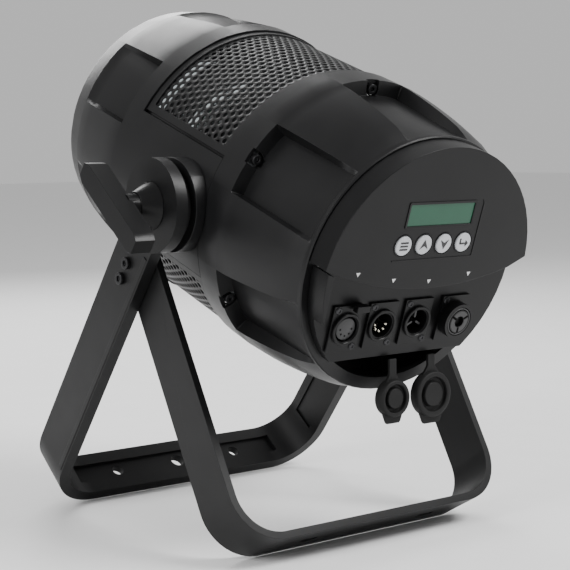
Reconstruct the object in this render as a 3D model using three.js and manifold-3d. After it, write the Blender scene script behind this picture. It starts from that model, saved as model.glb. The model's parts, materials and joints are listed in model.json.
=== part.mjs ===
// Zoom par can light: a tilting barrel in a main yoke, with a folding stand pinned inside the yoke.
// Millimetres, +Z up. The lens faces -Y, the control panel faces +Y and the tilt axis lies along X.
import * as THREE from "three";
import { mergeVertices } from "three/addons/utils/BufferGeometryUtils.js";
import Module from "manifold-3d";

const wasm = await Module();
wasm.setup();

// ---------- driving dimensions ----------
const GAP = 0.3; // clearance kept between neighbouring pieces
const TILT = 19.4; // degrees that the lens points above the horizon at rest

// Stations lie along the barrel axis from the tilt axis, + towards the control panel.
const RADIUS = 120;
const NOSE = -203;
const NOSE_BAND = -180; // the front pockets run out into a plain band here
const FRONT_STEP = -106; // step wall of the front pockets
const WINDOW_START = -86;
const SEAM = 31.5; // joint between the two shells
const REAR_STEP = 57.5; // step wall of the rear pockets
const RING = 143;
const PANEL = 162.6;
const SOCKET_FACE = 150;
const NOSE_RADIUS = 104.5;
const RING_RADIUS = 103.5;
const PANEL_RADIUS = 101.5;
const BLOCK_RADIUS = 97;
const BLOCK_FLOOR = -70; // flat underside of the socket block
const FLOOR_RADIUS = 108; // pocket floor at the step wall
const WALL = 4;
const WINDOW_ANGLE = 66; // half angle of each grille window
const POCKETS = 6;
const POCKET_HALF = 29.5;
const SCREW_RADIUS = 112.5;

const YOKE = { half: 145.5, lean: 37.5, length: 322, width: 44, thick: 10, corner: 46, head: 37 };
const STAND = { half: 134.8, lean: 29.3, length: 243.2, width: 44, thick: 6, corner: 40 };
const FOLD_REACH = 58; // tilt axis to the stand's fold axis, along the yoke's arm
const LOCK_REACH = 74;
const HOLE_PITCH = 65;

const SOCKETS = { dmx_out: 61, dmx_in: 26, power_in: -9.5, power_out: -47.5 };
const SOCKET_HEIGHT = -42;
const FLANGE = [28, 2, 37]; // a D-size socket on its sealing plate
const SCREEN = { x: 1.5, z: 49.8, width: 65, height: 17.5 };
const BUTTONS = { menu: 32.6, up: 12.6, down: -7.4, enter: -27.4 };
const BUTTON_HEIGHT = 26.4;
const BUTTON_RADIUS = 7.6;

const rad = THREE.MathUtils.degToRad;
const { sin, cos, PI } = Math;

// ---------- shapes ----------
function solid(geometry) {
  const g = geometry.clone();
  g.deleteAttribute("normal");
  g.deleteAttribute("uv");
  const merged = mergeVertices(g, 1e-4);
  const vertProperties = merged.attributes.position.array;
  const triVerts = new Uint32Array(merged.index.array);
  return new wasm.Manifold(new wasm.Mesh({ numProp: 3, vertProperties, triVerts }));
}

function geometryOf(made) {
  const mesh = made.getMesh();
  const g = new THREE.BufferGeometry();
  g.setAttribute("position", new THREE.BufferAttribute(mesh.vertProperties, 3));
  g.setIndex(new THREE.BufferAttribute(mesh.triVerts, 1));
  g.computeVertexNormals();
  return g;
}

function join(first, ...others) {
  return geometryOf(others.reduce((sum, g) => sum.add(solid(g)), solid(first)));
}

function cut(body, ...tools) {
  return geometryOf(tools.reduce((rest, g) => rest.subtract(solid(g)), solid(body)));
}

function common(first, second) {
  return geometryOf(solid(first).intersect(solid(second)));
}

function box([x, y, z], [cx, cy, cz] = [0, 0, 0]) {
  return new THREE.BoxGeometry(x, y, z).translate(cx, cy, cz);
}

// A solid of revolution about the barrel axis, from a closed outline of [radius, station].
function turned(outline, segments = 48) {
  const points = outline.map(([r, s]) => new THREE.Vector2(r, s));
  return new THREE.LatheGeometry(points, segments);
}

function disc(r, s0, s1, segments = 32) {
  return turned([[0, s0], [r, s0], [r, s1], [0, s1]], segments);
}

function tube(inner, outer, s0, s1, segments = 48) {
  return turned([[inner, s0], [outer, s0], [outer, s1], [inner, s1], [inner, s0]], segments);
}

// A pin along X from x0 to x1, centred on (y, z).
function pin(r, x0, x1, [y, z] = [0, 0], segments = 24) {
  const g = new THREE.CylinderGeometry(r, r, Math.abs(x1 - x0), segments);
  return g.rotateZ(PI / 2).translate((x0 + x1) / 2, y, z);
}

// A flat outline of [x, z] drawn along the barrel axis from station s0 to s1.
function drawn(outline, s0, s1) {
  const shape = new THREE.Shape(outline.map(([x, z]) => new THREE.Vector2(x, -z)));
  const g = new THREE.ExtrudeGeometry(shape, { depth: s1 - s0, bevelEnabled: false });
  return g.rotateX(-PI / 2).translate(0, s0, 0);
}

// The piece turned round the barrel axis, from the top towards +X.
function around(geometry, degrees) {
  return geometry.clone().rotateY(rad(degrees));
}

function arc(radius, from, to, steps, [cx, cz] = [0, 0]) {
  return Array.from({ length: steps + 1 }, (_, i) => {
    const a = rad(from + ((to - from) * i) / steps);
    return [cx + radius * sin(a), cz + radius * cos(a)];
  });
}

// ---------- scene ----------
const FINISH = {
  shell: { color: 0x0b0b0c, roughness: 0.42, metalness: 0.15 },
  grille: { color: 0x0d0d0e, roughness: 0.5, metalness: 0.3 },
  panel: { color: 0x09090a, roughness: 0.38, metalness: 0.05 },
  yoke: { color: 0x0e0e0f, roughness: 0.5, metalness: 0.2 },
  rubber: { color: 0x0a0a0a, roughness: 0.85, metalness: 0 },
  steel: { color: 0x202022, roughness: 0.35, metalness: 0.9 },
  screen: { color: 0x16472c, roughness: 0.15, metalness: 0 },
  button: { color: 0xb9bbbd, roughness: 0.4, metalness: 0.1 },
  alloy: { color: 0xa6a8ab, roughness: 0.45, metalness: 0.8 },
  board: { color: 0x12351f, roughness: 0.6, metalness: 0 },
  glass: { color: 0xdfe6ea, roughness: 0.08, metalness: 0 },
};

const light = new THREE.Group();
const lamp = new THREE.Group(); // local Y runs down the barrel axis to the control panel
lamp.rotation.x = -rad(TILT);
light.add(lamp);

function add(parent, name, geometry, finish) {
  const mesh = new THREE.Mesh(geometry, new THREE.MeshStandardMaterial(FINISH[finish]));
  mesh.name = name;
  parent.add(mesh);
}

// ---------- shells ----------
// Pockets round a shell: parallel-sided channels between two stations, down to the floor cone.
function pockets(floor, s0, s1) {
  const channel = box([2 * POCKET_HALF, s1 - s0, 60], [0, (s0 + s1) / 2, RADIUS - 10]);
  const cutter = cut(channel, turned(floor));
  return Array.from({ length: POCKETS }, (_, i) => around(cutter, (360 / POCKETS) * i));
}

function windowSector(r0, r1, s0, s1, halfAngle) {
  const outline = [...arc(r1, -halfAngle, halfAngle, 18), ...arc(r0, halfAngle, -halfAngle, 18)];
  return drawn(outline, s0, s1);
}

function frontShell() {
  const skin = turned([
    [NOSE_RADIUS - WALL, NOSE],
    [NOSE_RADIUS - 1.5, NOSE],
    [NOSE_RADIUS + 0.5, NOSE + 3],
    [110, NOSE_BAND],
    [114.5, -150],
    [118, -125],
    [RADIUS - GAP, FRONT_STEP],
    [RADIUS - GAP, SEAM - GAP],
    [RADIUS - WALL, SEAM - GAP],
    [RADIUS - WALL, FRONT_STEP + 8],
    [FLOOR_RADIUS - WALL, FRONT_STEP + 4],
    [FLOOR_RADIUS - WALL, NOSE_BAND],
    [NOSE_RADIUS - WALL, NOSE + 12],
    [NOSE_RADIUS - WALL, NOSE],
  ]);
  const floorEnd = FRONT_STEP + 1;
  const floor = [[0, NOSE_BAND - 1], [109, NOSE_BAND - 1], [FLOOR_RADIUS, floorEnd], [0, floorEnd]];
  const opening = windowSector(RADIUS - 14, RADIUS + 5, WINDOW_START, SEAM + 5, WINDOW_ANGLE);
  const studHole = pin(6.5, -RADIUS - 5, RADIUS + 5, [0, 0], 20);
  return cut(skin, ...pockets(floor, NOSE_BAND, FRONT_STEP), opening, around(opening, 180), studHole);
}

function rearShell() {
  const skin = turned([
    [RADIUS - WALL, SEAM],
    [RADIUS - GAP, SEAM],
    [RADIUS - GAP, REAR_STEP],
    [117.5, 80],
    [114, 103],
    [109.5, 125],
    [RING_RADIUS, RING - 3],
    [RING_RADIUS - 1, RING],
    [RING_RADIUS - 10, RING],
    [RING_RADIUS - 10, RING - 3],
    [98, RING - 6],
    [FLOOR_RADIUS - WALL, REAR_STEP],
    [FLOOR_RADIUS - WALL, REAR_STEP - 5],
    [RADIUS - WALL, REAR_STEP - 9],
    [RADIUS - WALL, SEAM],
  ]);
  const floor = [[0, REAR_STEP - 1], [FLOOR_RADIUS, REAR_STEP - 1], [102.6, RING - 4], [0, RING - 4]];
  const notch = disc(6, REAR_STEP - 3.5, REAR_STEP + 1, 12).translate(0, 0, SCREW_RADIUS);
  const hole = disc(2.4, SEAM - 5, REAR_STEP, 8).translate(0, 0, SCREW_RADIUS);
  const notches = Array.from({ length: POCKETS }, (_, i) => [around(notch, 60 * i), around(hole, 60 * i)]).flat();
  return cut(skin, ...pockets(floor, REAR_STEP, RING - 4), ...notches);
}

add(lamp, "front_shell", frontShell(), "shell");
add(lamp, "rear_shell", rearShell(), "shell");

// Each grille is a curved sheet that fills its window.
const grille = windowSector(RADIUS - 4.5, RADIUS - 2, WINDOW_START + GAP, SEAM - 2 * GAP, WINDOW_ANGLE - 0.3);
add(lamp, "grille_top", grille, "grille");
add(lamp, "grille_bottom", around(grille, 180), "grille");

function shellScrew() {
  const head = disc(4.2, REAR_STEP - 3.2, REAR_STEP + 0.6, 12);
  const shank = disc(2, REAR_STEP - 14, REAR_STEP - 3, 8);
  const socket = disc(1.9, REAR_STEP - 1.6, REAR_STEP + 1, 6);
  return cut(join(head, shank), socket).translate(0, 0, SCREW_RADIUS);
}
for (let i = 0; i < POCKETS; i++) add(lamp, `shell_screw_${i + 1}`, around(shellScrew(), 60 * i), "steel");

// ---------- control panel ----------
// The lower edge of the hood sags in a shallow curve between its two ends.
function hoodOutline() {
  const end = 84;
  const lower = new THREE.QuadraticBezierCurve(
    new THREE.Vector2(-PANEL_RADIUS * sin(rad(end)), 8),
    new THREE.Vector2(0, -29),
    new THREE.Vector2(PANEL_RADIUS * sin(rad(end)), 10.6),
  );
  const sag = lower.getPoints(12).reverse().slice(1, -1);
  return [...arc(PANEL_RADIUS, -end, end, 28), ...sag.map((p) => [p.x, p.y])];
}

function rearCap() {
  const hood = drawn(hoodOutline(), RING + GAP, PANEL);
  const hollow = common(
    drawn([[-90, 12], [-60, 0.5], [0, -6], [60, 0.5], [90, 12], [90, 110], [-90, 110]], RING - 1, PANEL - 3),
    disc(PANEL_RADIUS - WALL, RING - 1, PANEL - 3, 48),
  );
  const screenHole = box([SCREEN.width + 2 * GAP, 10, SCREEN.height + 2 * GAP], [SCREEN.x, PANEL, SCREEN.z]);
  const buttonHoles = Object.values(BUTTONS).map((x) =>
    disc(BUTTON_RADIUS + 0.4, PANEL - 5, PANEL + 1, 24).translate(x, 0, BUTTON_HEIGHT),
  );
  return cut(hood, hollow, screenHole, ...buttonHoles);
}
add(lamp, "rear_cap", rearCap(), "panel");

// Socket block under the hood: a plate with side walls and four socket holes.
function connectorBlock() {
  const plate = common(
    disc(BLOCK_RADIUS, RING + GAP, PANEL - 1, 48),
    box([220, 60, 88], [0, RING + 20, BLOCK_FLOOR + 44]),
  );
  const pocket = box([200, 30, 90], [-9, SOCKET_FACE + 15, BLOCK_FLOOR + 36]); // open on the -X side
  const behindHood = drawn([...hoodOutline().map(([x, z]) => [x * 1.02, z - 1])], RING, PANEL + 1);
  const holes = Object.values(SOCKETS).map((x) =>
    disc(12, RING - 1, SOCKET_FACE + 1, 20).translate(x, 0, SOCKET_HEIGHT),
  );
  return cut(plate, pocket, behindHood, ...holes);
}
add(lamp, "connector_block", connectorBlock(), "panel");

const screenSize = [SCREEN.width, 2.5, SCREEN.height];
add(lamp, "lcd_window", box(screenSize, [SCREEN.x, PANEL - 1.45, SCREEN.z]), "screen");
add(lamp, "lcd_module", box([74, 7, 27], [SCREEN.x, PANEL - 7.4, SCREEN.z]), "board");
add(lamp, "control_board", box([132, 1.6, 56], [0, PANEL - 13, 40]), "board");
for (const [label, x] of Object.entries(BUTTONS)) {
  const key = disc(BUTTON_RADIUS, PANEL - 4.5, PANEL + 1.2, 24).translate(x, 0, BUTTON_HEIGHT);
  add(lamp, `button_${label}`, key, "button");
}

// ---------- sockets ----------
function socket(x, opening, depth, core) {
  const flange = box(FLANGE, [0, SOCKET_FACE + 1 + GAP, 0]);
  const rear = disc(11.4, RING - 16, SOCKET_FACE + 1, 20);
  const front = SOCKET_FACE + 2 + GAP;
  const collar = disc(12.4, SOCKET_FACE + 1, front + 1.6, 20);
  const mouth = disc(opening, front - depth, front + 5, 20);
  const hollow = core ? cut(mouth, disc(core, front - depth, front + 0.6, 20)) : mouth;
  return cut(join(flange, rear, collar), hollow).translate(x, 0, SOCKET_HEIGHT);
}
add(lamp, "dmx_out_socket", socket(SOCKETS.dmx_out, 10.2, 12, 8.9), "panel");
add(lamp, "dmx_in_socket", socket(SOCKETS.dmx_in, 9.8, 14, 0), "panel");
add(lamp, "power_in_socket", socket(SOCKETS.power_in, 10, 14, 0), "panel");

function powerOutSocket() {
  const front = SOCKET_FACE + 11;
  const flange = box(FLANGE, [0, SOCKET_FACE + 1 + GAP, 0]);
  const housing = disc(14.5, SOCKET_FACE + 1, front, 24);
  const groove = tube(9.6, 12, front - 9, front + 1, 24);
  const core = disc(4.5, front - 3, front + 1, 20);
  const rear = disc(11.4, RING - 16, SOCKET_FACE + 2, 24);
  return cut(join(flange, housing, rear), groove, core).translate(SOCKETS.power_out, 0, SOCKET_HEIGHT);
}
add(lamp, "power_out_socket", powerOutSocket(), "panel");

// Push latch above the line output, on the flange's upper inner corner.
const latch = box([12, 5.4, 5], [SOCKETS.dmx_out - 8, SOCKET_FACE + 6.6, SOCKET_HEIGHT + 17.4]);
add(lamp, "dmx_out_latch", latch, "panel");

// ---------- light engine and zoom ----------
add(lamp, "front_bezel", tube(88, NOSE_RADIUS - WALL - GAP, NOSE + 2, NOSE + 8, 40), "shell");
add(lamp, "front_glass", disc(99.5, NOSE + 8.3, NOSE + 12.3, 40), "glass");
add(lamp, "front_gasket", tube(93, 99.5, NOSE + 12.6, NOSE + 15, 32), "rubber");

const RAIL_RADIUS = 85;
const RAILS = { guide_rod_left: 90, guide_rod_right: 270 };
const onRail = (geometry, degrees) => around(geometry.clone().translate(0, 0, RAIL_RADIUS), degrees);
for (const [name, degrees] of Object.entries(RAILS)) {
  add(lamp, name, onRail(disc(3, -186, -90.3, 12), degrees), "steel");
}
add(lamp, "lead_screw", onRail(disc(3, -186, -87, 12), 180), "steel");

function lensCarriage() {
  const ring = tube(76, 95, -156, -148, 32);
  const bores = [...Object.values(RAILS), 180].map((a) => onRail(disc(3.6, -160, -140, 12), a));
  return cut(ring, ...bores);
}
add(lamp, "lens_carriage", lensCarriage(), "alloy");
const lensOutline = [[0, -158], [40, -156.5], [75.6, -153], [75.6, -149], [0, -149]];
add(lamp, "zoom_lens", turned(lensOutline, 32), "glass");

function bulkhead() {
  const motorBore = onRail(disc(4, -92, -80, 12), 180);
  return cut(tube(74, 100, -90, -86, 36), motorBore);
}
add(lamp, "zoom_bulkhead", bulkhead(), "alloy");
add(lamp, "zoom_motor", onRail(box([25, 26, 23], [0, -72.5, 0]), 180), "steel");

add(lamp, "led_lens_array", disc(70, -88, -80, 36), "glass");
add(lamp, "led_board", disc(70, -79.7, -77.7, 36), "board");

function heatSink() {
  const fins = 24;
  const base = disc(71, -77.4, -70, 36);
  const core = disc(28, -71, -12, 24);
  const fin = box([2, 44, 80], [0, -34, 60]);
  const stem = box([2, 20, 44], [0, -62, 48]);
  const turns = Array.from({ length: fins }, (_, i) => (360 / fins) * (i + 0.5));
  return join(base, core, ...turns.flatMap((turn) => [around(fin, turn), around(stem, turn)]));
}
add(lamp, "heat_sink", heatSink(), "alloy");

const FAN = { size: 92, radius: 43, s0: -8, s1: 17 };
function fanFrame() {
  const frame = box([FAN.size, FAN.s1 - FAN.s0, FAN.size], [0, (FAN.s0 + FAN.s1) / 2, 0]);
  const bore = disc(FAN.radius, FAN.s0 - 1, FAN.s1 + 1, 32);
  const boss = disc(15, FAN.s1 - 4, FAN.s1, 20);
  const strut = box([4, 4, 46], [0, FAN.s1 - 2, 23]);
  return join(cut(frame, bore), boss, ...[0, 120, 240].map((a) => around(strut, a)));
}
function fanRotor() {
  const hub = disc(15, FAN.s0 + 1, FAN.s1 - 4.5, 20);
  const blade = box([1.6, 17, 28], [0, 0, 27.5]).rotateZ(rad(42)).translate(0, (FAN.s0 + FAN.s1) / 2 - 2, 0);
  return join(hub, ...Array.from({ length: 7 }, (_, i) => around(blade, (360 / 7) * i)));
}
add(lamp, "fan_frame", fanFrame(), "panel");
add(lamp, "fan_rotor", fanRotor(), "panel");
add(lamp, "power_supply", box([118, 84, 50], [0, 72, 22]), "alloy");

// ---------- trunnions ----------
const SIDES = { left: 1, right: -1 }; // left and right as seen from behind the lamp's panel

function sideBoss(side) {
  const body = pin(37, side * 100, side * 128, [0, 0], 32);
  const bore = pin(6.5, side * 95, side * 140, [0, 0], 20);
  return cut(body, disc(RADIUS, -60, 60, 48), bore);
}
for (const [name, side] of Object.entries(SIDES)) {
  add(lamp, `side_boss_${name}`, sideBoss(side), "shell");
  const ring = pin(30, side * 128.3, side * 135.2, [0, 0], 28);
  const bore = pin(6.5, side * 120, side * 140, [0, 0], 20);
  add(lamp, `friction_washer_${name}`, cut(ring, bore), "rubber");
}

// ---------- yoke and stand ----------
// A flat bar bent into a U, drawn in its own plane: X across, Y down the arms from the pivot line.
function bentBar({ half, length, width, thick, corner }, top) {
  const outer = new THREE.Shape();
  outer.moveTo(-half, top);
  outer.lineTo(-half, length - corner);
  outer.absarc(-half + corner, length - corner, corner, PI, PI / 2, true);
  outer.lineTo(half - corner, length);
  outer.absarc(half - corner, length - corner, corner, PI / 2, 0, true);
  outer.lineTo(half, top);
  outer.lineTo(half - thick, top);
  outer.lineTo(half - thick, length - corner);
  outer.absarc(half - corner, length - corner, corner - thick, 0, PI / 2, false);
  outer.lineTo(-half + corner, length - thick);
  outer.absarc(-half + corner, length - corner, corner - thick, PI / 2, PI, false);
  outer.lineTo(-half + thick, top);
  const g = new THREE.ExtrudeGeometry(outer, { depth: width, bevelEnabled: false, curveSegments: 8 });
  return g.translate(0, 0, -width / 2);
}

// Turns the bar's plane so that its arms run down at the lean angle, + to the rear.
function leaning(geometry, lean) {
  return geometry.rotateX(-PI / 2 + rad(lean));
}

function outerYoke() {
  const { half, thick, length, head } = YOKE;
  const bar = bentBar(YOKE, 0);
  const heads = [1, -1].map((k) => pin(head, k * (half - thick), k * half, [0, 0], 32));
  const channel = box([2 * half - 70, 4, 20], [0, length - thick + 0.5, 0]);
  const groove = [1, -1].map((k) => box([3, length - 120, 26], [k * (half - thick), length / 2 + 20, 0]));
  const bores = [1, -1].flatMap((k) => [
    pin(6.5, k * (half - 20), k * (half + 5), [0, 0], 20),
    pin(3.4, k * (half - 20), k * (half + 5), [FOLD_REACH, 0], 16),
    pin(3.4, k * (half - 20), k * (half + 5), [LOCK_REACH, 0], 16),
  ]);
  const holes = [-1, 0, 1].map((k) => {
    const hole = disc(k ? 5.5 : 6.5, length - 30, length + 5, 20);
    return hole.translate(k * HOLE_PITCH, 0, 0);
  });
  return leaning(cut(join(bar, ...heads), channel, ...groove, ...bores, ...holes), -YOKE.lean);
}
add(light, "outer_yoke", outerYoke(), "yoke");

function innerStand() {
  const { half, thick, width, length } = STAND;
  const bar = bentBar(STAND, 0);
  const ends = [1, -1].map((k) => pin(width / 2, k * (half - thick), k * half, [0, 0], 28));
  const bores = [1, -1].map((k) => pin(3.4, k * (half - 20), k * (half + 5), [0, 0], 16));
  const slots = [1, -1].map((k) => box([16, 20, 6.5], [k * 61, length, 0]));
  return leaning(cut(join(bar, ...ends), ...bores, ...slots), STAND.lean);
}
const foldY = -FOLD_REACH * sin(rad(YOKE.lean));
const foldZ = -FOLD_REACH * cos(rad(YOKE.lean));
add(light, "inner_stand", innerStand().translate(0, foldY, foldZ), "yoke");

function hexBolt(side, reach, inner) {
  const { half, lean } = YOKE;
  const at = [-reach * sin(rad(lean)), -reach * cos(rad(lean))];
  const head = pin(5, side * (half + GAP), side * (half + 3.2), at, 24);
  const recess = pin(2.6, side * (half + 1.4), side * (half + 5), at, 6);
  return cut(join(head, pin(3, side * inner, side * (half + 1), at, 16)), recess);
}

// T-handle: a threaded stud, a cone hub and a cross bar that lies square to the yoke's arm.
function clampHandle(side) {
  const { half, lean } = YOKE;
  const stud = pin(6, side * 104, side * (half + 20), [0, 0], 20);
  const hub = new THREE.CylinderGeometry(11, 19, 14, 24).rotateZ((-side * PI) / 2);
  hub.translate(side * (half + 7.4), 0, 0);
  const neck = pin(10, side * (half + 12), side * (half + 24), [0, 0], 20);
  const corners = [[-46, -6], [-40, -9], [40, -9], [46, -6], [46, 6], [40, 9], [-40, 9], [-46, 6]];
  const outline = new THREE.Shape(corners.map(([a, b]) => new THREE.Vector2(a, b)));
  const bar = new THREE.ExtrudeGeometry(outline, { depth: 17, bevelEnabled: false });
  bar.translate(0, 0, -8.5).rotateY(PI / 2).rotateX(PI / 2 - rad(lean + 1));
  return join(stud, hub, neck, bar.translate(side * (half + 30), 0, 0));
}

for (const [name, side] of Object.entries(SIDES)) {
  add(light, `fold_bolt_${name}`, hexBolt(side, FOLD_REACH, 127), "steel");
  add(light, `lock_bolt_${name}`, hexBolt(side, LOCK_REACH, 135.3), "steel");
  add(light, `clamp_handle_${name}`, clampHandle(side), "panel");
}

// ---------- rubber caps ----------
// Each hangs by its strap from the block's underside.
function rubberCap(radius, strap) {
  const cap = disc(radius, -5, 5, 28).translate(0, 0, -strap - radius + 2);
  const band = box([7, 2.6, strap + 4], [0, 0, -strap / 2]);
  const tab = box([12, 2.6, 9], [0, 0, -strap - 2 * radius - 0.5]);
  return join(cap, band, tab);
}
const CAPS = { dmx_in_cap: [8, 14.5, 14], power_in_cap: [-32, 18, 11.5] }; // across, radius, strap
const rootS = SOCKET_FACE + 5;
const rootZ = BLOCK_FLOOR - 3;
const capY = rootS * cos(rad(TILT)) + rootZ * sin(rad(TILT));
const capZ = -rootS * sin(rad(TILT)) + rootZ * cos(rad(TILT));
for (const [name, [x, radius, strap]] of Object.entries(CAPS)) {
  add(light, name, rubberCap(radius, strap).translate(x, capY, capZ), "rubber");
}

// The floor is Z = 0, and the part is centred on it along Y.
light.updateMatrixWorld(true);
const bounds = new THREE.Box3().setFromObject(light, true);
light.position.set(0, -(bounds.min.y + bounds.max.y) / 2, -bounds.min.z);

export default light;
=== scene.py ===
"""A zoom par can light on a pale floor: shells, perforated grilles, panel, sockets, yoke and stand around the CAD frame."""

import json
import math

import bmesh
import bpy
from mathutils import Matrix, Vector


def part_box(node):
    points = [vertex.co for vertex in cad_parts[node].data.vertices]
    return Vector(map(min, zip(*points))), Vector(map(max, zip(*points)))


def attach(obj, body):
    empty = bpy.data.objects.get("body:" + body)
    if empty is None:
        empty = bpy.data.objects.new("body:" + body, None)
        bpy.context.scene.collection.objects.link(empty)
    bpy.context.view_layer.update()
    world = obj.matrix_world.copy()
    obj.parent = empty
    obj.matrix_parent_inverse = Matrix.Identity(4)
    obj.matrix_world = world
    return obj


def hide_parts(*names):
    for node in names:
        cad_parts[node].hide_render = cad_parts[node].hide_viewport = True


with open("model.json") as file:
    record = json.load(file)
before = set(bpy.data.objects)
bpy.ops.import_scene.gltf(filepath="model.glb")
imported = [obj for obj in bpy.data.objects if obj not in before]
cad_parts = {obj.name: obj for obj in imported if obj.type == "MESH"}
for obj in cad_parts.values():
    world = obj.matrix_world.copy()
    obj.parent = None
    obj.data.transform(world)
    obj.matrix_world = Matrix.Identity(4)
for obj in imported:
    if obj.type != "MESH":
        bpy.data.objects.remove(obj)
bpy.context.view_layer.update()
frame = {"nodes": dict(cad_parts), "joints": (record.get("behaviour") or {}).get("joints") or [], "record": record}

# ---------- frame ----------
# Lamp coordinates are (x, s, v) in millimetres: s runs down the barrel axis to the rear, v is up from the tilt axis.
MM = 0.001
JOINTS = {joint["name"]: joint for joint in frame["joints"]}
PIVOT = Vector(JOINTS["lamp_tilt"]["pos_m"])
AXIS = Vector(JOINTS["zoom_slide"]["axis"])
TILT = math.atan2(-AXIS.z, AXIS.y)
LAMP = Matrix.Translation(PIVOT) @ Matrix.Rotation(-TILT, 4, "X") @ Matrix.Scale(MM, 4)
ROW = Matrix.Scale(MM, 4)

# ---------- driving dimensions, in millimetres and degrees ----------
NOSE = -203
NOSE_BAND = -180
FRONT_STEP = -106
WINDOW_START = -86
SEAM = 31.5
REAR_STEP = 57.5
RING = 143
PANEL = 162.6
RADIUS = 119.7
FLOOR_RADIUS = 108
WALL = 4
POCKETS = 6
POCKET_TOP_HALF = 30.5
POCKET_FLOOR_HALF = 27
WINDOW_ANGLE = 66
GRILLE_RADIUS = 116.6
HOLE_PITCH = 7.1
HOLE_RADIUS = 2.35
SCREW_RADIUS = 112.5
SOCKET_FACE = 152.3
SOCKET_ORDER = ("dmx_out", "dmx_in", "power_in", "power_out")
SOCKETS = {label: sum(c.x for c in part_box(f"{label}_socket")) / 2 / MM for label in SOCKET_ORDER}
SOCKET_HEIGHT = -42
ARROWS = {"dmx_out": (70, 6), "dmx_in": (34, -1), "power_in": (-2, -4), "power_out": (-42, -0.3)}
BUTTONS = {"menu": 32.6, "up": 12.6, "down": -7.4, "enter": -27.4}
BUTTON_HEIGHT = 26.4
KEY_FACE = 163.8
SIDES = {"left": 1, "right": -1}


# ---------- materials ----------
def material(name, colour, roughness, metallic=0.0, **look):
    """A surface with slow colour drift, uneven gloss and a fine bump, all in the object's own coordinates.

    look may give grain (bumps per metre), bump (strength), drift (share of colour change), specular, coat,
    stretch (grain drawn out along X, as brushing is), and alpha or glassy for clear pieces; alpha is not used."""
    made = bpy.data.materials.new(name)
    made.use_nodes = True
    nodes, links = made.node_tree.nodes, made.node_tree.links
    shader = nodes["Principled BSDF"]
    shader.inputs["Metallic"].default_value = metallic
    shader.inputs["Specular IOR Level"].default_value = look.get("specular", 0.5)
    shader.inputs["Coat Weight"].default_value = look.get("coat", 0.0)
    shader.inputs["Coat Roughness"].default_value = 0.12
    shader.inputs["Transmission Weight"].default_value = look.get("glassy", 0.0)
    shader.inputs["IOR"].default_value = look.get("ior", 1.5)
    place = nodes.new("ShaderNodeTexCoord")
    stretch = nodes.new("ShaderNodeMapping")
    stretch.inputs["Scale"].default_value = look.get("stretch", (1, 1, 1))
    links.new(place.outputs["Object"], stretch.inputs["Vector"])

    def noise(scale, detail):
        node = nodes.new("ShaderNodeTexNoise")
        node.inputs["Scale"].default_value = scale
        node.inputs["Detail"].default_value = detail
        links.new(stretch.outputs["Vector"], node.inputs["Vector"])
        return node.outputs["Fac"]

    drift = look.get("drift", 0.25)
    ramp = nodes.new("ShaderNodeValToRGB")
    ramp.color_ramp.elements[0].position = 0.3
    ramp.color_ramp.elements[1].position = 0.7
    ramp.color_ramp.elements[0].color = [c * (1 - drift) for c in colour] + [1]
    ramp.color_ramp.elements[1].color = [min(1, c * (1 + drift)) for c in colour] + [1]
    links.new(noise(look.get("blotch", 22), 5), ramp.inputs["Fac"])
    links.new(ramp.outputs["Color"], shader.inputs["Base Color"])
    gloss = nodes.new("ShaderNodeMapRange")
    gloss.inputs["To Min"].default_value = roughness * 0.86
    gloss.inputs["To Max"].default_value = min(1, roughness * 1.14)
    links.new(noise(60, 4), gloss.inputs["Value"])
    links.new(gloss.outputs["Result"], shader.inputs["Roughness"])
    bump = nodes.new("ShaderNodeBump")
    bump.inputs["Strength"].default_value = look.get("bump", 0.25)
    bump.inputs["Distance"].default_value = 0.0002
    links.new(noise(look.get("grain", 900), 3), bump.inputs["Height"])
    links.new(bump.outputs["Normal"], shader.inputs["Normal"])
    return made


def screen_material():
    """Unlit green display: a darker dot matrix under a glossy window."""
    made = material("display_green", (0.006, 0.072, 0.036), 0.3, grain=300, bump=0.02, coat=0.15, drift=0.12, specular=0.3)
    nodes, links = made.node_tree.nodes, made.node_tree.links
    shader = nodes["Principled BSDF"]
    base = shader.inputs["Base Color"].links[0].from_socket
    dots = nodes.new("ShaderNodeTexBrick")
    dots.offset = 0
    dots.inputs["Scale"].default_value = 1
    dots.inputs["Brick Width"].default_value = 0.0011
    dots.inputs["Row Height"].default_value = 0.0013
    dots.inputs["Mortar Size"].default_value = 0.00012
    dots.inputs["Color1"].default_value = (0.88, 0.88, 0.88, 1)
    dots.inputs["Color2"].default_value = (0.94, 0.94, 0.94, 1)
    dots.inputs["Mortar"].default_value = (1, 1, 1, 1)
    place = nodes.new("ShaderNodeTexCoord")
    turn = nodes.new("ShaderNodeMapping")
    turn.inputs["Rotation"].default_value = (math.pi / 2 + TILT, 0, 0)
    links.new(place.outputs["Object"], turn.inputs["Vector"])
    links.new(turn.outputs["Vector"], dots.inputs["Vector"])
    mix = nodes.new("ShaderNodeMix")
    mix.data_type = "RGBA"
    mix.blend_type = "MULTIPLY"
    mix.inputs["Factor"].default_value = 1
    links.new(base, mix.inputs["A"])
    links.new(dots.outputs["Color"], mix.inputs["B"])
    links.new(mix.outputs["Result"], shader.inputs["Base Color"])
    return made


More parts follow.
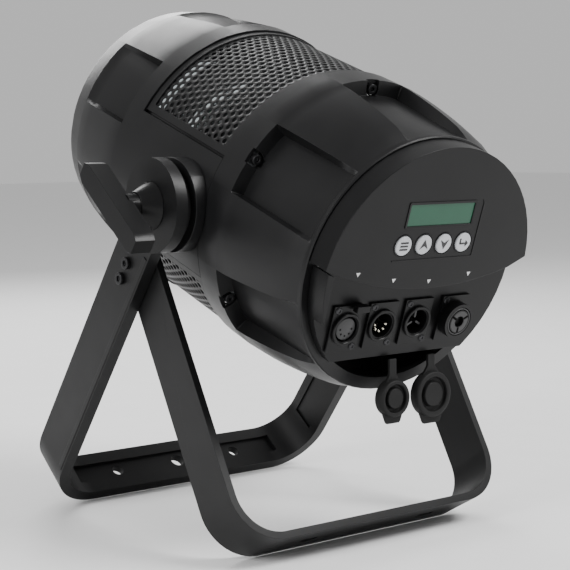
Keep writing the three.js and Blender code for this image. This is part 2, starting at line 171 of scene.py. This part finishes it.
BLACK = {
    "shell": material("powder_coat", (0.0056, 0.0056, 0.006), 0.34, grain=1300, bump=0.30, specular=0.27),
    "grille": material("grille_coat", (0.0066, 0.0066, 0.007), 0.42, 0.1, grain=1600, bump=0.2, specular=0.28),
    "panel": material("matt_moulding", (0.0040, 0.0040, 0.0043), 0.34, grain=2200, bump=0.15, specular=0.2),
    "yoke": material("yoke_coat", (0.0052, 0.0052, 0.0055), 0.42, grain=1500, bump=0.4, specular=0.26),
    "rubber": material("moulded_rubber", (0.0055, 0.0055, 0.0055), 0.62, grain=700, bump=0.25, specular=0.26),
    "steel": material("black_oxide", (0.035, 0.035, 0.037), 0.32, 0.85, grain=1800, bump=0.15),
    "screen": screen_material(),
    "button": material("silver_key", (0.47, 0.48, 0.50), 0.38, 0.15, grain=2600, bump=0.12, drift=0.06),
    # Milled alloy with its colour darkened well below bare aluminium: painted shade for the heat sink seen inside the
    # shell through the grille holes.
    "alloy": material("mill_alloy_darkened_as_shade", (0.40, 0.41, 0.42), 0.42, 0.9, grain=900, bump=0.25, stretch=(1, 9, 9)),
    "board": material("solder_mask", (0.018, 0.085, 0.03), 0.45, grain=500, bump=0.2),
    "glass": material("clear_glass", (0.90, 0.94, 0.95), 0.03, glassy=1.0, ior=1.16, bump=0.0, drift=0.02),
}
LENS = material("led_lens", (0.045, 0.05, 0.055), 0.1, coat=0.8, grain=200, bump=0.02, drift=0.2)
CONTACT = material("nickel_contact", (0.66, 0.62, 0.52), 0.22, 1.0, grain=1500, bump=0.08, drift=0.08)
PRINT = material("white_print", (0.62, 0.62, 0.62), 0.55, grain=2000, bump=0.15, drift=0.08)
MARK = material("black_key_mark", (0.012, 0.012, 0.013), 0.5, grain=2000, bump=0.15, drift=0.1)
# Near-black fill for the socket holes and slots: painted shade standing in for the depth of the openings.
HOLE_SHADE = material("painted_hole_shade", (0.0015, 0.0015, 0.0015), 0.7, grain=1500, bump=0.15, specular=0.05)
INSERT = material("socket_insert", (0.018, 0.018, 0.019), 0.42, grain=1500, bump=0.15)


# ---------- mesh helpers ----------
def piece(name, mesh_source, place, body, slot, replaces=(), coat=None, bevel=0.0, thick=0.0, sharp=32):
    """Makes a shown piece from a bmesh in millimetres and lets it ride on a CAD body."""
    mesh_source.transform(place)
    mesh = bpy.data.meshes.new(name)
    bmesh.ops.remove_doubles(mesh_source, verts=mesh_source.verts, dist=1e-6)
    mesh_source.to_mesh(mesh)
    mesh_source.free()
    mesh.shade_smooth()
    mesh.set_sharp_from_angle(angle=math.radians(sharp))
    made = bpy.data.objects.new(name, mesh)
    bpy.context.scene.collection.objects.link(made)
    made.data.materials.append(coat or BLACK[slot])
    if thick:
        solidify = made.modifiers.new("thickness", "SOLIDIFY")
        solidify.thickness = thick * MM
        solidify.offset = -1
    if bevel:
        add_bevel(made, bevel, sharp)
    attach(made, body)
    if replaces:
        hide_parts(*replaces)
    return made


def add_bevel(made, width, angle=32, segments=2):
    edge = made.modifiers.new("edges", "BEVEL")
    edge.width = width * MM
    edge.segments = segments
    edge.limit_method = "ANGLE"
    edge.angle_limit = math.radians(angle)
    edge.harden_normals = True


def lathe(outline, segments=64):
    """A solid of revolution about Y from (radius, station) points that start and end on the axis or close up."""
    made = bmesh.new()
    closed = outline[0][0] > 0
    rings = []
    for r, s in outline:
        if r == 0:
            rings.append([made.verts.new((0, s, 0))])
            continue
        ring = [math.tau * i / segments for i in range(segments)]
        rings.append([made.verts.new((r * math.sin(a), s, r * math.cos(a))) for a in ring])
    pairs = list(zip(rings, rings[1:] + rings[:1] if closed else rings[1:]))
    for a, b in pairs:
        for i in range(segments):
            j = (i + 1) % segments
            corners = [a[i % len(a)], a[j % len(a)], b[j % len(b)], b[i % len(b)]]
            corners = list(dict.fromkeys(corners))
            if len(corners) > 2:
                made.faces.new(corners)
    bmesh.ops.recalc_face_normals(made, faces=made.faces)
    return made


def slab(outline, s0, s1):
    """A flat outline of (x, v) points made solid between two stations."""
    made = bmesh.new()
    near = [made.verts.new((x, s0, v)) for x, v in outline]
    far = [made.verts.new((x, s1, v)) for x, v in outline]
    made.faces.new(near)
    made.faces.new(far[::-1])
    for i in range(len(near)):
        j = (i + 1) % len(near)
        made.faces.new((near[i], far[i], far[j], near[j]))
    bmesh.ops.recalc_face_normals(made, faces=made.faces)
    return made


def merged(*parts):
    whole = bmesh.new()
    for part in parts:
        mesh = bpy.data.meshes.new("part")
        part.to_mesh(mesh)
        part.free()
        whole.from_mesh(mesh)
        bpy.data.meshes.remove(mesh)
    return whole


def moved(part, x=0.0, s=0.0, v=0.0, turn=0.0):
    part.transform(Matrix.Translation((x, s, v)) @ Matrix.Rotation(math.radians(turn), 4, "Y"))
    return part


def rounded(width, height, radius, steps=5):
    """A rectangle's outline with round corners, centred on the origin."""
    points = []
    for k, (sx, sy) in enumerate(((1, 1), (-1, 1), (-1, -1), (1, -1))):
        for i in range(steps + 1):
            a = math.radians(90 * k + 90 * i / steps)
            cx, cy = sx * (width / 2 - radius), sy * (height / 2 - radius)
            points.append((cx + radius * math.cos(a), cy + radius * math.sin(a)))
    return points


# ---------- shells ----------
def pocket_angles(rim, floor, pocketed):
    """Column angles over one sixth of the barrel, measured from the middle of a pocket."""
    top = math.degrees(math.asin(POCKET_TOP_HALF / rim))
    low = math.degrees(math.asin(POCKET_FLOOR_HALF / floor)) if pocketed else top - 0.4
    edge = (WINDOW_ANGLE - 60) / top
    half = [(0, True), (edge, True), (0.7, True)]
    inner = [low * f if f != edge else WINDOW_ANGLE - 60 for f, _ in half]
    right = [(a, True) for a in inner] + [(low, True), (top, False)]
    right += [(top + (30 - top) * f, False) for f in (0.33, 0.67)]
    left = [(-a, is_floor) for a, is_floor in right[1:]]
    return left[::-1] + right + [(30, False)]


def shell_surface(rows, hidden=lambda s, angle: False):
    """Rows are (station, rim radius, pocket floor radius or None)."""
    made = bmesh.new()
    grid = []
    for s, rim, floor in rows:
        line = []
        for k in range(POCKETS):
            for angle, is_floor in pocket_angles(rim, floor or rim, floor is not None)[:-1]:
                r = floor if is_floor and floor is not None else rim
                a = math.radians(60 * k + angle)
                line.append((made.verts.new((r * math.sin(a), s, r * math.cos(a))), 60 * k + angle))
        grid.append((s, line))
    for (s0, first), (s1, second) in zip(grid, grid[1:]):
        for i in range(len(first)):
            j = (i + 1) % len(first)
            step = (first[j][1] - first[i][1]) % 360
            if hidden((s0 + s1) / 2, first[i][1] + step / 2):
                continue
            made.faces.new((first[i][0], first[j][0], second[j][0], second[i][0]))
    loose = [v for v in made.verts if not v.link_faces]
    bmesh.ops.delete(made, geom=loose, context="VERTS")
    return made


def in_window(s, angle):
    from_top = abs((angle + 180) % 360 - 180)
    over = min(from_top, 180 - from_top)
    return WINDOW_START < s < SEAM and over < WINDOW_ANGLE


def front_rows():
    rows = [(NOSE, 102.6, None), (NOSE + 0.8, 104.2, None), (NOSE + 3, 105, None), (NOSE_BAND - 0.6, 109.8, None)]
    slope = [(NOSE_BAND, 110), (-165, 112.4), (-150, 114.5), (-137, 116.4), (-125, 118), (-115, 119.2)]
    for s, rim in slope + [(FRONT_STEP - 0.4, RADIUS)]:
        share = (s - NOSE_BAND) / (FRONT_STEP - NOSE_BAND)
        rows.append((s, rim, min(rim - 0.5, 109.5 + (FLOOR_RADIUS - 109.5) * share)))
    plain = (FRONT_STEP + 0.6, -96, WINDOW_START, -60, -30, 0, SEAM - 6, SEAM - 0.3)
    return rows + [(s, RADIUS, None) for s in plain]


def rear_rows():
    rows = [(s, RADIUS, None) for s in (SEAM, SEAM + 10, REAR_STEP - 0.6)]
    slope = [(REAR_STEP + 0.4, RADIUS - 0.3), (68, 118.9), (80, 117.5), (91, 115.9), (103, 114), (114, 111.9)]
    slope += [(125, 109.5), (133, 106.6), (RING - 4.4, 104)]
    for s, rim in slope:
        share = (s - REAR_STEP) / (RING - 4 - REAR_STEP)
        rows.append((s, rim, min(rim - 0.4, FLOOR_RADIUS + (102.8 - FLOOR_RADIUS) * share)))
    return rows + [(RING - 3.4, 103.6, None), (RING - 0.8, 103.3, None), (RING, 102.4, None), (RING, 93, None)]


def make_shells():
    front = shell_surface(front_rows(), in_window)
    piece("front_shell_casting", front, LAMP, "lamp", "shell", ["front_shell"], bevel=1.1, thick=WALL)
    rear = shell_surface(rear_rows())
    rear = piece("rear_shell_casting", rear, LAMP, "lamp", "shell", ["rear_shell"], thick=WALL)
    cut_notches(rear)
    add_bevel(rear, 1.0)


def cut_notches(shell):
    """Opens a round-bottomed notch for each shell screw in the step wall of its pocket."""
    half, floor = 6, SCREW_RADIUS
    outline = [(half, 124), (-half, 124), (-half, floor)]
    outline += [(-half * math.cos(math.radians(a)), floor - half * math.sin(math.radians(a))) for a in range(20, 180, 20)]
    outline += [(half, floor)]
    cutters = [moved(slab(outline, REAR_STEP - 3.4, REAR_STEP + 3), turn=60 * k) for k in range(POCKETS)]
    tools = merged(*cutters)
    tools.transform(LAMP)
    mesh = bpy.data.meshes.new("notches")
    tools.to_mesh(mesh)
    tools.free()
    cutter = bpy.data.objects.new("notches", mesh)
    bpy.context.scene.collection.objects.link(cutter)
    cutting = shell.modifiers.new("notches", "BOOLEAN")
    cutting.object = cutter
    cutting.solver = "EXACT"
    bpy.context.view_layer.update()
    shaped = shell.evaluated_get(bpy.context.evaluated_depsgraph_get())
    made = bpy.data.meshes.new_from_object(shaped)
    shell.modifiers.clear()
    shell.data = made
    made.shade_smooth()
    made.set_sharp_from_angle(angle=math.radians(32))
    bpy.data.objects.remove(cutter)


# ---------- grilles ----------
def on_barrel(made, radius):
    """Wraps a flat sheet of (arc length, station) round the barrel."""
    for v in made.verts:
        a = v.co.x / radius
        v.co = (radius * math.sin(a), v.co.y, radius * math.cos(a))
    return made


def perforated_sheet(half_width, s0, s1):
    """Round holes on a staggered pitch, each in its own six-sided cell."""
    made = bmesh.new()
    reach = HOLE_PITCH / math.sqrt(3)
    row_pitch = 1.5 * reach
    rows = int((s1 - s0 - 2 * reach) / row_pitch) + 1
    columns = int((2 * half_width - HOLE_PITCH) / HOLE_PITCH)
    start = s0 + (s1 - s0 - (rows - 1) * row_pitch) / 2
    for row in range(rows):
        shift = 0.5 if row % 2 else 0
        for column in range(columns):
            cx = (column - (columns - 1) / 2 + shift - 0.25) * HOLE_PITCH
            cy = start + row * row_pitch
            outer = [
                made.verts.new((cx + reach * math.sin(math.radians(60 * i)), cy + reach * math.cos(math.radians(60 * i)), 0))
                for i in range(6)
            ]
            hole = [
                made.verts.new((cx + HOLE_RADIUS * math.sin(math.radians(30 * i)), cy + HOLE_RADIUS * math.cos(math.radians(30 * i)), 0))
                for i in range(12)
            ]
            for i in range(6):
                j = (i + 1) % 6
                made.faces.new((outer[i], outer[j], hole[2 * i + 1]))
                made.faces.new((outer[i], hole[2 * i + 1], hole[2 * i]))
                made.faces.new((outer[j], hole[(2 * i + 2) % 12], hole[2 * i + 1]))
    bmesh.ops.remove_doubles(made, verts=made.verts, dist=0.02)
    bmesh.ops.recalc_face_normals(made, faces=made.faces)
    return made


def border_sheet(half_width, s0, s1, margin):
    """A plain frame round the perforated field, fine enough to wrap."""
    made = bmesh.new()
    steps = 60
    xs = [-half_width, -half_width + margin]
    xs += [-half_width + margin + (2 * half_width - 2 * margin) * i / steps for i in range(1, steps)]
    xs += [half_width - margin, half_width]
    ys = [s0, s0 + margin, s1 - margin, s1]
    grid = [[made.verts.new((x, y, 0)) for x in xs] for y in ys]
    for j in range(3):
        for i in range(len(xs) - 1):
            if j == 1 and 0 < i < len(xs) - 2:
                continue
            made.faces.new((grid[j][i], grid[j][i + 1], grid[j + 1][i + 1], grid[j + 1][i]))
    return made


def make_grilles():
    half = math.radians(WINDOW_ANGLE - 0.6) * GRILLE_RADIUS
    s0, s1 = WINDOW_START + 0.8, SEAM - 1
    for name, turn in (("top", 0), ("bottom", 180)):
        field = moved(on_barrel(perforated_sheet(half, s0, s1), GRILLE_RADIUS), turn=turn)
        mesh = piece(f"grille_{name}_mesh", field, LAMP, "lamp", "grille", [f"grille_{name}"], thick=-1.2, sharp=60)
        mesh.modifiers["thickness"].offset = 0
        rim = moved(on_barrel(border_sheet(half, s0, s1, 6.5), GRILLE_RADIUS + 0.9), turn=turn)
        edge = piece(f"grille_{name}_frame", rim, LAMP, "lamp", "grille", thick=1.6, bevel=0.4)
        edge.modifiers["thickness"].offset = 0
        lip = moved(on_barrel(border_sheet(half + 3.4, s0 - 3, s1 + 0.6, 8.5), GRILLE_RADIUS - 1.9), turn=turn)
        seat = piece(f"grille_{name}_lip", lip, LAMP, "lamp", "grille", thick=0.8)
        seat.modifiers["thickness"].offset = 0


# ---------- control panel ----------
def bar_mark(x, v, width, height):
    return moved(slab(rounded(width, height, min(width, height) * 0.3, 3), 0, 0.3), x=x, v=v)


def make_panel_marks():
    for label, (x, v) in ARROWS.items():
        arrow = moved(slab([(-1.9, 1.5), (1.9, 1.5), (0, -1.7)], PANEL, PANEL + 0.15), x=x, v=v)
        piece(f"label_arrow_{label}", arrow, LAMP, "lamp", "button", coat=PRINT)
    ridge = 1.1
    border = [(-39, 60), (-40.5, 58.5), (-40.5, 15.5), (-39, 14), (40.5, 14), (40.5, 14 + ridge)]
    border += [(-38.6, 14 + ridge), (-39.4, 16), (-39.4, 58), (-38.2, 60)]
    piece("panel_ridge", slab(border, PANEL - 0.2, PANEL + 0.5), LAMP, "lamp", "panel", bevel=0.2)
    hole = rounded(68, 20.5, 1.6)
    inner = rounded(64.2, 16.6, 1)
    rim = bmesh.new()
    rings = []
    for outline, s in ((hole, PANEL - 0.5), (hole, PANEL + 0.7), (inner, PANEL + 0.5), (inner, PANEL - 0.5)):
        rings.append([rim.verts.new((1.5 + x, s, 49.8 + v)) for x, v in outline])
    for a, b in zip(rings, rings[1:] + rings[:1]):
        for i in range(len(a)):
            j = (i + 1) % len(a)
            rim.faces.new((a[i], a[j], b[j], b[i]))
    bmesh.ops.recalc_face_normals(rim, faces=rim.faces)
    piece("display_bezel", rim, LAMP, "lamp", "panel", bevel=0.25)


def key_cap():
    r = 7.6
    return lathe([(0, PANEL - 4.5), (r, PANEL - 4.5), (r, KEY_FACE - 0.9), (r - 0.3, KEY_FACE - 0.35), (r - 1, KEY_FACE), (r - 2, KEY_FACE - 0.1), (0, KEY_FACE - 0.1)], 48)


def key_mark(label):
    if label == "menu":
        return merged(*[bar_mark(0, v, 7.6, 1.3) for v in (2.6, 0, -2.6)])
    if label == "enter":
        stem = bar_mark(0.9, -0.6, 6, 1.3)
        rise = bar_mark(3.6, 1.1, 1.3, 4.6)
        head = slab([(-4.8, -0.6), (-1.8, 2), (-1.8, -3.2)], 0, 0.3)
        return merged(stem, rise, head)
    sign = 1 if label == "up" else -1
    arrow = slab([(0, 4.2), (4, -3.2), (0, -0.7), (-4, -3.2)], 0, 0.3)
    arrow.transform(Matrix.Diagonal((1, 1, sign, 1)))
    bmesh.ops.recalc_face_normals(arrow, faces=arrow.faces)
    return arrow


def make_keys():
    for label, x in BUTTONS.items():
        cap = moved(key_cap(), x=x, v=BUTTON_HEIGHT)
        piece(f"key_{label}", cap, LAMP, f"button_{label}", "button", [f"button_{label}"])
        mark = moved(key_mark(label), x=x, s=KEY_FACE - 0.2, v=BUTTON_HEIGHT)
        piece(f"key_{label}_mark", mark, LAMP, f"button_{label}", "button", coat=MARK)
        well = lathe([(7.9, PANEL - 0.3), (9.1, PANEL - 0.3), (9.1, PANEL + 0.25), (8.6, PANEL + 0.5), (7.9, PANEL + 0.1)], 48)
        piece(f"key_{label}_ring", moved(well, x=x, v=BUTTON_HEIGHT), LAMP, "lamp", "panel")


# ---------- sockets ----------
def flange_screws(x):
    parts = []
    for dx, dv in ((10, 15), (-10, -15)):
        head = lathe([(0, 0), (2.9, 0), (2.9, 0.5), (2.2, 1.1), (1.4, 1.1), (1.1, 0.5), (0, 0.4)], 24)
        parts.append(moved(head, x=x + dx, s=SOCKET_FACE - 0.1, v=SOCKET_HEIGHT + dv))
    return merged(*parts)


def contacts(label, positions, radius, s0, s1):
    tip = radius * 0.6
    pins = [moved(lathe([(0, s0), (radius, s0), (radius, s1 - tip), (tip, s1), (0, s1)], 16), x=x, v=v) for x, v in positions]
    return moved(merged(*pins), x=SOCKETS[label], v=SOCKET_HEIGHT)


def five_ring(radius):
    return [(radius * math.sin(math.radians(a)), radius * math.cos(math.radians(a))) for a in (90, 135, 180, 225, 270)]


def make_sockets():
    for label, x in SOCKETS.items():
        piece(f"{label}_flange_screws", flange_screws(x), LAMP, "lamp", "steel")
        rim = lathe([(10.6, 0), (13, 0), (13, 2.2), (12.6, 2.8), (11, 2.8), (10.6, 2.2)], 48)
        if label != "power_out":
            piece(f"{label}_rim", moved(rim, x=x, s=SOCKET_FACE - 0.1, v=SOCKET_HEIGHT), LAMP, "lamp", "panel")
        else:
            rim.free()
    deep = SOCKET_FACE - 11
    pins = contacts("dmx_in", five_ring(5.4), 1.1, deep - 1, SOCKET_FACE - 0.3)
    piece("dmx_in_pins", pins, LAMP, "lamp", "steel", coat=CONTACT)
    insert = lathe([(0, SOCKET_FACE), (8.7, SOCKET_FACE), (8.7, SOCKET_FACE + 0.7), (8.2, SOCKET_FACE + 1), (0, SOCKET_FACE + 1)], 48)
    insert = moved(insert, x=SOCKETS["dmx_out"], v=SOCKET_HEIGHT)
    piece("dmx_out_insert", insert, LAMP, "lamp", "panel", coat=INSERT)
    # Dark plugs in the five contact holes of the DMX out socket: painted shade standing in for the depth of the holes.
    holes = contacts("dmx_out", five_ring(5.4), 1.35, SOCKET_FACE - 1, SOCKET_FACE + 1.1)
    piece("dmx_out_contact_hole_shade", holes, LAMP, "lamp", "panel", coat=HOLE_SHADE)
    blades = [slab(rounded(1.6, 5.5, 0.5), deep, SOCKET_FACE - 2) for _ in range(3)]
    for k, blade in enumerate(blades):
        moved(moved(blade, v=5), x=0, turn=120 * k)
    piece("power_in_blades", moved(merged(*blades), x=SOCKETS["power_in"], v=SOCKET_HEIGHT), LAMP, "lamp", "panel", coat=INSERT)
    front = SOCKET_FACE + 8.7
    ring = lathe([(10.2, front - 5), (11.4, front - 5), (11.4, front - 0.3), (11.1, front), (10.5, front), (10.2, front - 0.3)], 48)
    piece("power_out_ring", moved(ring, x=SOCKETS["power_out"], v=SOCKET_HEIGHT), LAMP, "lamp", "panel", coat=INSERT)
    core = lathe([(4.5, front - 2), (9, front - 2), (9, front + 0.1), (8.6, front + 0.4), (4.9, front + 0.4), (4.5, front + 0.1)], 48)
    core = moved(core, x=SOCKETS["power_out"], v=SOCKET_HEIGHT)
    piece("power_out_core", core, LAMP, "lamp", "panel", coat=INSERT)
    # Dark slabs in the three slots of the power out core: painted shade standing in for the depth of the slots.
    slots = [moved(moved(slab(rounded(1.8, 4.4, 0.6), front - 0.4, front + 0.5), v=6.8), turn=120 * k + 60) for k in range(3)]
    piece("power_out_slot_shade", moved(merged(*slots), x=SOCKETS["power_out"], v=SOCKET_HEIGHT), LAMP, "lamp", "panel", coat=HOLE_SHADE)


# ---------- rubber caps ----------
def make_caps():
    for name, body in (("dmx_in_cap", "dmx_cap"), ("power_in_cap", "power_cap")):
        low, high = (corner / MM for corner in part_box(name))
        x, y = (low.x + high.x) / 2, (low.y + high.y) / 2
        r = (high.x - low.x) / 2
        z = low.z + r + 5
        cup = [(0, -4.8), (r - 1.6, -4.8), (r - 0.4, -4.2), (r, -3), (r, 3.4), (r - 0.6, 4.6), (r - 1.6, 5)]
        cup += [(r * 0.8, 5), (r * 0.76, 4.4), (r * 0.74, 1.2), (r * 0.56, 0.8), (r * 0.54, 3.6), (r * 0.5, 4.2), (0, 4.2)]
        parts = [moved(lathe(cup, 56), x=x, s=y, v=z)]
        root = high.z - z
        flare = [(-0.74 * r, 0.6 * r), (-0.42 * r, 0.95 * r), (-3.6, 1.25 * r), (-3.5, root)]
        parts.append(moved(slab(flare + [(-a, b) for a, b in flare[::-1]], -1.3, 1.3), x=x, s=y, v=z))
        foot = low.z - z
        tail = [(-0.8 * r, -0.5 * r), (-0.5 * r, foot + 1.5), (-0.42 * r, foot)]
        parts.append(moved(slab(tail + [(-a, b) for a, b in tail[::-1]], -1.3, 1.3), x=x, s=y, v=z))
        piece(f"{name}_moulding", merged(*parts), ROW, body, "rubber", [name], bevel=0.5)


# ---------- light engine, seen through the front glass ----------
def dome(radius, height, steps=6):
    points = [(0, 0), (radius, 0)]
    points += [(radius * math.cos(math.radians(90 * i / steps)), -height * math.sin(math.radians(90 * i / steps))) for i in range(1, steps)]
    return points + [(0, -height)]


def make_lens_array():
    plate = lathe([(0, -80), (70, -80), (70, -83), (0, -83)], 64)
    parts = [plate]
    pitch = 19.6
    for ring in range(4):
        count = max(1, 6 * ring)
        for i in range(count):
            a = math.tau * i / count
            side = math.pi / 3
            along = (a % side) - side / 2
            reach = ring * pitch * math.cos(side / 2) / math.cos(along) if ring else 0
            cell = moved(lathe(dome(9.2, 5), 28), x=reach * math.sin(a), s=-82.8, v=reach * math.cos(a))
            parts.append(cell)
    piece("led_lens_cells", merged(*parts), LAMP, "lamp", "glass", ["led_lens_array"], coat=LENS)


# ---------- yoke trim ----------
def make_yoke_strips():
    """A raised strip along the rear edge of each yoke arm, on its outer face."""
    down = Vector(frame["record"]["mounts"][0]["axis"])
    across = Vector((1, 0, 0))
    turn = Matrix((across, down, across.cross(down))).transposed().to_4x4()
    arm = Matrix.Translation(PIVOT) @ turn @ Matrix.Scale(MM, 4)
    outer_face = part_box("outer_yoke")[1].x / MM
    for name, side in SIDES.items():
        x0, x1 = outer_face - 0.4, outer_face + 0.7
        section = [(side * x0, 15), (side * x1, 16), (side * x1, 20), (side * x0, 21)]
        piece(f"yoke_strip_{name}", slab(section, 38, 276), arm, "yoke", "yoke", bevel=0.3)


# ---------- carried-over CAD nodes ----------
NODE_EDGES = {"outer_yoke": 0.9, "inner_stand": 0.8, "rear_cap": 1.3, "connector_block": 0.7}
SMALL_EDGE = 0.35


def node_slots():
    return {row["node"]: row["material_slot"] for row in frame["record"]["subparts"]}


def finish_nodes():
    for name, slot in node_slots().items():
        node = frame["nodes"][name]
        node.data.materials.clear()
        node.data.materials.append(BLACK[slot])
        if node.hide_render:
            continue
        for face in node.data.polygons:
            face.use_smooth = True
        weld = node.modifiers.new("weld", "WELD")
        weld.merge_threshold = 2e-6
        width = 2.6 if name.startswith("clamp_handle") else NODE_EDGES.get(name, SMALL_EDGE)
        edge = node.modifiers.new("edges", "BEVEL")
        edge.width = width * MM
        edge.segments = 3 if width > 1 else 2
        edge.limit_method = "ANGLE"
        edge.angle_limit = math.radians(34)
        normals = node.modifiers.new("normals", "WEIGHTED_NORMAL")
        normals.weight = 60
        normals.keep_sharp = False


# ---------- studio ----------
def make_camera():
    """The photograph's view: behind and to the left, a little above the tilt axis."""
    look = Vector((-0.6068, -0.7894, -0.0929)).normalized()
    right = Vector((-0.79215, 0.61022, -0.01141)).normalized()
    up = right.cross(look).normalized()
    camera = bpy.data.objects.new("camera", bpy.data.cameras.new("camera"))
    bpy.context.scene.collection.objects.link(camera)
    turn = Matrix((right, up, -look)).transposed().to_4x4()
    camera.matrix_world = Matrix.Translation(PIVOT + Vector((0.7465, 0.9496, 0.0423))) @ turn
    camera.data.lens = 92.32
    camera.data.sensor_width = 36
    bpy.context.scene.camera = camera


def area_light(name, place, target, size, power):
    lamp = bpy.data.lights.new(name, "AREA")
    lamp.shape = "RECTANGLE"
    lamp.size, lamp.size_y = size
    lamp.energy = power
    made = bpy.data.objects.new(name, lamp)
    bpy.context.scene.collection.objects.link(made)
    made.location = place
    made.rotation_euler = (Vector(target) - Vector(place)).to_track_quat("-Z", "Y").to_euler()


def make_studio():
    floor_mesh = bpy.data.meshes.new("floor")
    floor = bpy.data.objects.new("floor", floor_mesh)
    bpy.context.scene.collection.objects.link(floor)
    ground = bmesh.new()
    bmesh.ops.create_grid(ground, x_segments=2, y_segments=2, size=12)
    ground.to_mesh(floor_mesh)
    ground.free()
    pale = material("pale_floor", (0.86, 0.86, 0.86), 0.7, grain=120, bump=0.05, drift=0.01)
    floor_mesh.materials.append(pale)
    floor.location.z = -0.0003
    world = bpy.data.worlds.new("studio")
    bpy.context.scene.world = world
    world.use_nodes = True
    world.node_tree.nodes["Background"].inputs["Color"].default_value = (1, 1, 1, 1)
    world.node_tree.nodes["Background"].inputs["Strength"].default_value = 0.6
    area_light("key", (-0.9, 1.3, 1.9), (0, 0, 0.28), (1.1, 0.8), 62)
    area_light("side", (1.9, 0.3, 1.2), (0, 0, 0.25), (0.6, 1.3), 30)
    area_light("front", (-0.5, -1.7, 1.4), (0, 0, 0.25), (1.2, 1.2), 30)


make_camera()
make_studio()
make_shells()
make_grilles()
make_panel_marks()
make_keys()
make_sockets()
make_caps()
make_lens_array()
make_yoke_strips()
finish_nodes()
